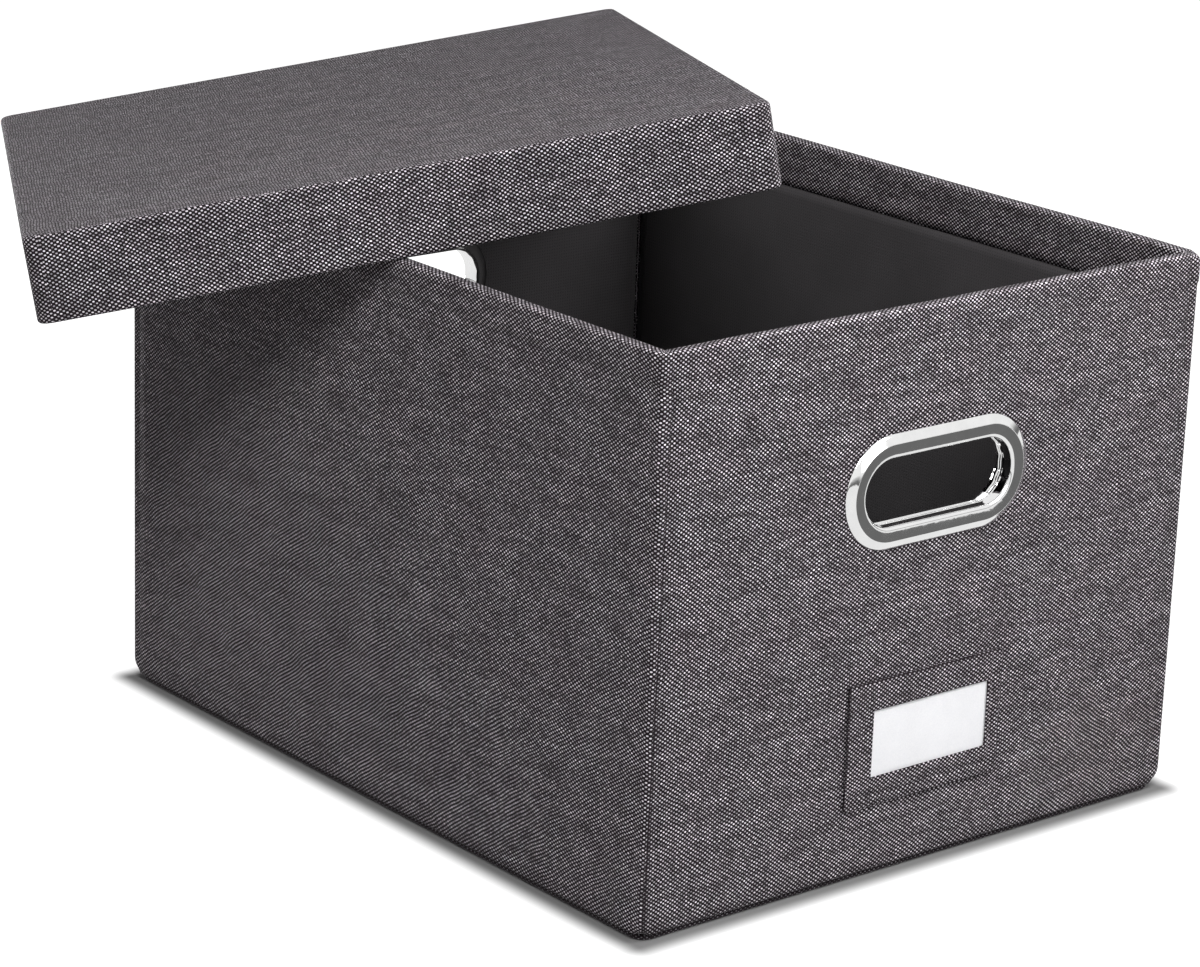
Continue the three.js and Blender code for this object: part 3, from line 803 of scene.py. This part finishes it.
def bezel_section():
    inside = -WALL - GAP - RING_THICKNESS - GAP
    # The barrel, from inside the box outwards, has three shallow creases where it was pressed over the board.
    section = [(0.25, inside - 0.7), (0.25, inside + 1.0), (0.12, -6.6), (0.08, -6.4)]
    section += [(0.4, -6.1), (0.26, -5.6), (0.12, -5.2), (0.08, -5.05), (0.36, -4.8), (0.22, -4.2)]
    section += [(0.14, -3.8), (0.12, -3.7), (0.28, -3.5), (0.1, -2.6), (0.0, -1.5), (0.0, 0.0), (0.0, 0.9)]
    # The rolled lip runs on into a crown so slight that it looks flat.
    section += arc(2.0, 1.12, 2.0, 1.4, 180, 97, 12)
    for x in (4.3, 3.8, 3.2, 2.6, 2.0, 1.4, 0.8, 0.3, 0.0):
        section.append((6.5 - x, 2.8 - 0.0349 * x - 0.0054 * x * x))
    # Then come a straight slope, a rounded outer edge, and the back, which lies on the cloth.
    section += [(6.6, 2.78), (6.75, 2.7), (7.7, 2.24), (8.8, 1.7), (9.7, 1.16), (10.15, 0.86), (10.42, 0.62)]
    section += [(10.5, 0.45), (10.42, 0.32), (10.25, GAP), (9.6, GAP), (0.9, GAP), (0.9, -3.0), (0.9, inside)]
    # Inside the box the barrel's end is rolled out over the backing ring.
    section += [(1.6, inside), (1.72, inside - 0.2), (1.6, inside - 0.5), (1.2, inside - 0.72)]
    section += [(0.6, inside - 0.8)]
    return section


def backing_section():
    face = -WALL - GAP
    near, far, back = 1.2, 7.9, face - RING_THICKNESS
    section = [(far, face), (far, face - 0.4), (far - 0.3, face - 0.8), (far - 1.0, face - 1.2)]
    section += [(far - 1.9, face - 1.42), (far - 3.0, back), (near + 0.8, back), (near + 0.25, back + 0.15)]
    section += [(near, back + 0.5), (near, face)]
    return section


for wall_name in ("front", "back"):
    ring = eyelet(wall_name + "_bezel_metal", wall_name, bezel_section(), chrome, crimp=0.2)
    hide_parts(wall_name + "_handle_bezel")
    ring = eyelet(wall_name + "_backing_metal", wall_name, backing_section(), chrome)
    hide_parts(wall_name + "_handle_backing_ring")


# Label pocket


def pocket_lines(low, high, window, more):
    """Where the pocket's mesh has a line: close together at its edges and its window, and at the places in
    more, which follow its sewn lines."""
    made = [low, low + 0.35, low + 0.9, high - 0.9, high - 0.35, high] + more
    made += [window[0] - 0.4, window[0]] + steps(window[0] + 4, window[1] - 4, 6)
    made += [window[1], window[1] + 0.4, window[1] + 0.9]
    return sorted(set(made))


def pocket():
    """The cloth patch with its window, sewn down at its right end, top and foot, and open at its left."""
    left, right = POCKET_X
    low, high = POCKET_Z
    xs = pocket_lines(
        left, right, WINDOW_X,
        steps(left + 3, WINDOW_X[0] - 0.9, 4) + [right - 6.2, right - 5.5, right - 4.8, right - 2.5],
    )
    zs = pocket_lines(
        low, high, WINDOW_Z,
        [low + 3, low + 4.8, low + 5.5, low + 6.2, WINDOW_Z[0] - 3, WINDOW_Z[0] - 0.9, WINDOW_Z[1] + 4,
         high - 6.2, high - 4.8, high - 2.6],
    )

    def to_window(x, z):
        """How far a point is outside the window."""
        return max(WINDOW_X[0] - x, x - WINDOW_X[1], WINDOW_Z[0] - z, z - WINDOW_Z[1])

    def depth(x, z):
        """How far the patch's face is behind its foremost plane."""
        back = 0.0
        for gap_to, reach in ((x - left, 0.8), (right - x, 0.9), (z - low, 0.9), (high - z, 0.9)):
            if gap_to < reach:
                # The open left end, with its corners, isn't drawn down onto the wall.
                drop = 0.45 if gap_to == x - left else 1.25
                back = max(back, drop * (1 - math.sqrt(max(0.0, 1 - (1 - gap_to / reach) ** 2))))
        sewn = min(right - x, z - low)
        back = max(back, 0.55 * math.exp(-((sewn - 5.5) / 0.7) ** 2) * (1 if x > left + 2 else 0.5))
        if 0 <= to_window(x, z) < 0.9:
            back = max(back, 0.4 * (1 - to_window(x, z) / 0.9) ** 2)
        back += 0.12 * abs(unevenness(x, z, 5, 18))
        return min(back, 1.35)

    def shade(x, z):
        """Painted shade: a dark line at the patch's edges and round its window, with a fainter one beside a
        sewn edge.
        """
        darkest = -0.35 if 0 <= to_window(x, z) < 0.3 else 0.0
        for gap_to, dark in ((x - left, 1.0), (high - z, 0.65), (right - x, 0.4), (z - low, 0.3)):
            if gap_to < 0.5:
                darkest = min(darkest, -dark)
            elif gap_to < 1.0 and dark < 1.0:
                darkest = min(darkest, -dark * 0.4)
        return darkest

    def opening(i, j):
        return to_window((xs[j] + xs[j + 1]) / 2, (zs[i] + zs[i + 1]) / 2) < 0

    points = [[(x, POCKET_FRONT + depth(x, z), z) for x in xs] for z in zs]
    cloth = [[(x + POCKET_START, z + 0.4, shade(x, z)) for x in xs] for z in zs]
    piece = grid("label_pocket_cloth", points, cloth, linen, drop=opening)
    thicken(piece, 0.85)
    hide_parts("label_holder")
    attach(piece, "front_wall")


def card():
    """The card, a little shorter than the pocket, so that its end is out of sight in the open slot."""
    hidden, radius = 3.5, 0.8
    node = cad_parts["label_card"]
    corners = np.array([tuple(node.matrix_world @ v.co) for v in node.data.vertices]) / MM
    low, high = corners.min(axis=0), corners.max(axis=0)
    low[0] += hidden
    x_ends, z_ends = (low[0], high[0]), (low[2], high[2])
    edge = []
    for x_end, z_end, angle in ((1, 0, -90), (1, 1, 0), (0, 1, 90), (0, 0, 180)):
        x, z = x_ends[x_end], z_ends[z_end]
        middle_x = x - math.copysign(radius, x - (low[0] + high[0]) / 2)
        middle_z = z - math.copysign(radius, z - (low[2] + high[2]) / 2)
        edge += arc(middle_x, middle_z, radius, radius, angle, angle + 90, 3)
    rows = [[(x, y, z) for x, z in edge] for y in (high[1], low[1])]
    flat = [[(x, z, 0.0) for x, z in edge + edge[:1]]] * 2
    piece = grid("white_label_card", rows, flat, paper, closed=True, fill=(0, 1))
    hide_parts("label_card")
    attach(piece, "card")


pocket()
card()


# Lid

# Its three resting points, in its own frame, give the turn and the place that it lies in.
LEFT, RIGHT = LID_WALL - LID_WIDTH / 2, LID_WIDTH / 2 - LID_WALL
FRONT, BACK = LID_WALL - LID_LENGTH / 2, LID_LENGTH / 2 - LID_WALL
on_corner = Vector((LEFT + SEAT_FROM_LEFT, BACK - SEAT_FROM_BACK, -LID_WALL))
on_left_rim = Vector((RIGHT - SEAT_FROM_RIGHT, FRONT, -LID_DEPTH))
lid_drop = LID_WALL - LID_DEPTH
lid_along = (on_left_rim.x - on_corner.x) * (RIGHT - on_corner.x) + lid_drop * lid_drop
on_back_rim = Vector((RIGHT, on_corner.y - lid_along / (FRONT - on_corner.y), -LID_DEPTH))
box_y = (on_corner - on_left_rim).normalized()
box_x = (on_back_rim - on_corner).normalized()
lid_turn = Matrix((box_x, box_y, box_x.cross(box_y)))
box_corner = Vector((RIM_RADIUS - BOX_WIDTH / 2, BOX_DEPTH / 2 - RIM_RADIUS, BOX_HEIGHT + GAP))
lid_seat = box_corner - lid_turn @ on_corner


def on_lid(point):
    return tuple(lid_turn @ Vector(point) + lid_seat)


def lid_swell(x, y, inset):
    """The slight unevenness of the cloth over the lid's top."""
    return 0.22 * unevenness(x, y, 2, 60) - 0.1 if inset >= 6 else 0.0


LID_X, LID_Y = LID_WIDTH / 2, LID_LENGTH / 2
HEM_TOP = 15
skirt = [(LID_WALL - 0.1, -LID_DEPTH + height) for height in (HEM_TOP, 8, 1.6)]
skirt += arc(LID_WALL - 1.5, -LID_DEPTH + 1.4, 1.4, 1.4, 0, -90, 4)[1:]
skirt += [(2.4, -LID_DEPTH)] + arc(1.5, -LID_DEPTH + 1.5, 1.5, 1.5, -90, -180, 4)
skirt += parts(skirt[-1], (0.0, -LID_EDGE), 8)
lid_edge = arc(LID_EDGE, -LID_EDGE, LID_EDGE, LID_EDGE, 180, 90, 6)[1:]
worn_rows = range(len(skirt) + 1, len(skirt) + 4)
cap = rings(
    "lid_cap_cloth", LID_X, LID_Y, LID_RADIUS,
    skirt + lid_edge + [(6.0, 0.0), (14.0, 0.0)] + to_middle(14.0, 0.0, LID_X, 9), linen,
    LID_START, place=on_lid, sides=(0, len(skirt) + 3), wear_and_painted_shade=lambda n: 0.55 if n in worn_rows else 0.0,
    per_corner=8, size=10.0, swell=lid_swell,
)
thicken(cap, CLOTH * 0.85)
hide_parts("lid_cover")
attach(cap, "lid")

inside_side = [(LID_WALL - 0.15, -LID_DEPTH + HEM_TOP + 0.2)]
inside_side += parts((LID_WALL - 0.12, -LID_DEPTH + HEM_TOP + 0.2), (LID_WALL - 0.12, -6.3), 4)
inside_top = [(LID_WALL + 0.3, -LID_WALL - 0.4), (LID_WALL + 1.2, -LID_WALL - 0.02)]
lid_inner = rings(
    "lid_inner_lining", LID_X, LID_Y, LID_RADIUS,
    inside_side + inside_top + to_middle(6.2, -LID_WALL, LID_X, 9), lining,
    LID_INSIDE_START, place=on_lid, sides=(0, len(inside_side) + 1), size=10.0, flip=True,
)
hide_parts("lid_lining")
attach(lid_inner, "lid")


# Solids that stay: the boards and the rails

for node_name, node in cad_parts.items():
    for ending, look in (("board", board), ("rail", zinc)):
        if node_name.endswith(ending):
            node.data.materials.clear()
            node.data.materials.append(look)


# Floor, light and camera


def floor():
    """A floor that the camera sees as white, with a contact shadow round the box's foot: its real shadow,
    deepened by painted shade where the floor's glow fades out near the box.
    """
    half, painted_shadow_reach, patch_place = 6.0, 0.014, (0.38, -0.68, 0.0)
    data = bpy.data.meshes.new("studio_floor")
    square = [(-half, -half, 0), (half, -half, 0), (half, half, 0), (-half, half, 0)]
    data.from_pydata(square, [], [(0, 1, 2, 3)])
    piece = bpy.data.objects.new("studio_floor", data)
    piece.location.z = -0.0002
    bpy.context.scene.collection.objects.link(piece)
    p = Paint("studio_floor")
    spot = p.node("ShaderNodeTexCoord").outputs["Object"]
    x, y, _ = p.node("ShaderNodeSeparateXYZ", {0: spot}).outputs
    beyond_x = p.math("MAXIMUM", p.minus(p.math("ABSOLUTE", x), BOX_WIDTH / 2 * MM), 0.0)
    beyond_y = p.math("MAXIMUM", p.minus(p.math("ABSOLUTE", y), BOX_DEPTH / 2 * MM), 0.0)
    beyond = p.vector(beyond_x, beyond_y)
    beside = p.node("ShaderNodeVectorMath", {0: beyond}, operation="LENGTH").outputs["Value"]
    plain = p.node("ShaderNodeBsdfDiffuse", {"Color": (0.5, 0.5, 0.5)}).outputs[0]
    dull = p.node("ShaderNodeBsdfDiffuse", {"Color": (0.25, 0.25, 0.25)}).outputs[0]
    # Painted shadow: near the box's resting footprint the floor's glow fades out, and only a dark diffuse
    # floor is left.
    clear = p.span(beside, 0.0, painted_shadow_reach, smooth=True)
    glow = p.node("ShaderNodeEmission", {"Strength": clear}).outputs[0]
    seen = p.node("ShaderNodeAddShader", {0: dull, 1: glow}).outputs[0]
    rays = p.node("ShaderNodeLightPath").outputs
    lit = p.mixed(rays["Is Camera Ray"], plain, seen)
    # A grey patch off to the front right, which the flat of the polished handle shows.
    patch = p.node("ShaderNodeVectorMath", {0: spot, 1: patch_place}, operation="DISTANCE").outputs["Value"]
    pool = p.span(patch, 0.21, 0.235, 0.16, 0.95, smooth=True)
    mirrored = p.node("ShaderNodeEmission", {"Strength": pool}).outputs[0]
    p.finish(p.mixed(rays["Is Glossy Ray"], lit, mirrored))
    data.materials.append(p.material)


def studio_world():
    """Soft light from all round. The camera sees white, and metal sees white above a grey horizon."""
    world = bpy.data.worlds.new("studio")
    bpy.context.scene.world = world
    w = Nodes(world, "ShaderNodeOutputWorld")
    dome = w.node("ShaderNodeBackground", {"Color": (1.0, 0.94, 0.955), "Strength": 0.109}).outputs[0]
    direction = w.node("ShaderNodeTexCoord").outputs["Generated"]
    height = w.node("ShaderNodeSeparateXYZ", {0: direction}).outputs[2]
    horizon = w.span(height, 0.0, 0.14, 0.16, 1.0, smooth=True)
    rays = w.node("ShaderNodeLightPath").outputs
    grey = w.math("MAXIMUM", horizon, rays["Is Camera Ray"])
    seen = w.node("ShaderNodeBackground", {"Color": grey, "Strength": 1.0}).outputs[0]
    w.finish(w.mixed(w.math("MAXIMUM", rays["Is Camera Ray"], rays["Is Glossy Ray"]), dome, seen))


def panel_light(name, place, towards, size, power):
    """A square soft box, aimed at a point."""
    data = bpy.data.lights.new(name, "AREA")
    data.energy = power
    data.size = size
    lamp = bpy.data.objects.new(name, data)
    lamp.location = place
    lamp.rotation_mode = "QUATERNION"
    lamp.rotation_quaternion = (Vector(towards) - Vector(place)).to_track_quat("-Z", "Y")
    bpy.context.scene.collection.objects.link(lamp)


floor()
studio_world()
panel_light("left_light", (-0.90, -1.10, 1.44), (-0.12, -0.15, 0.12), 0.6, 22.6)
panel_light("front_light", (0.15, -0.95, 0.55), (0.0, -0.19, 0.15), 0.5, 1.9)
panel_light("high_light", (0.25, -0.80, 0.95), (0.0, -0.10, 0.28), 0.5, 5.4)
panel_light("back_light", (-0.1, 1.3, 0.12), (0.0, 0.2, 0.13), 0.5, 7.0)
panel_light("right_light", (1.26, 0.1, 0.12), (0.16, 0.0, 0.13), 0.5, 7.0)

# The camera, fitted to the photograph: angles in degrees, its lens in pixels of a picture 1200 wide, and its
# place in its own turned frame.
AZIMUTH, TILT, ROLL = -39.689, 72.500, 2.041
PICTURE_WIDTH, LENS_PIXELS, SENSOR = 1200, 3964.6, 36.0
AWAY, SIDE, RISE = 1917.5, -15.93, 119.52
turn = (
    Matrix.Rotation(math.radians(AZIMUTH), 3, "Z")
    @ Matrix.Rotation(math.radians(TILT), 3, "X")
    @ Matrix.Rotation(math.radians(ROLL), 3, "Z")
)
camera_data = bpy.data.cameras.new("camera")
camera_data.sensor_width = SENSOR
camera_data.lens = LENS_PIXELS / PICTURE_WIDTH * SENSOR
camera_data.clip_start, camera_data.clip_end = 0.05, 50.0
camera = bpy.data.objects.new("camera", camera_data)
camera.matrix_world = Matrix.Translation(turn @ Vector((SIDE, RISE, AWAY)) * MM) @ turn.to_4x4()
bpy.context.scene.collection.objects.link(camera)
bpy.context.scene.camera = camera
bpy.context.scene.view_settings.view_transform = "Standard"
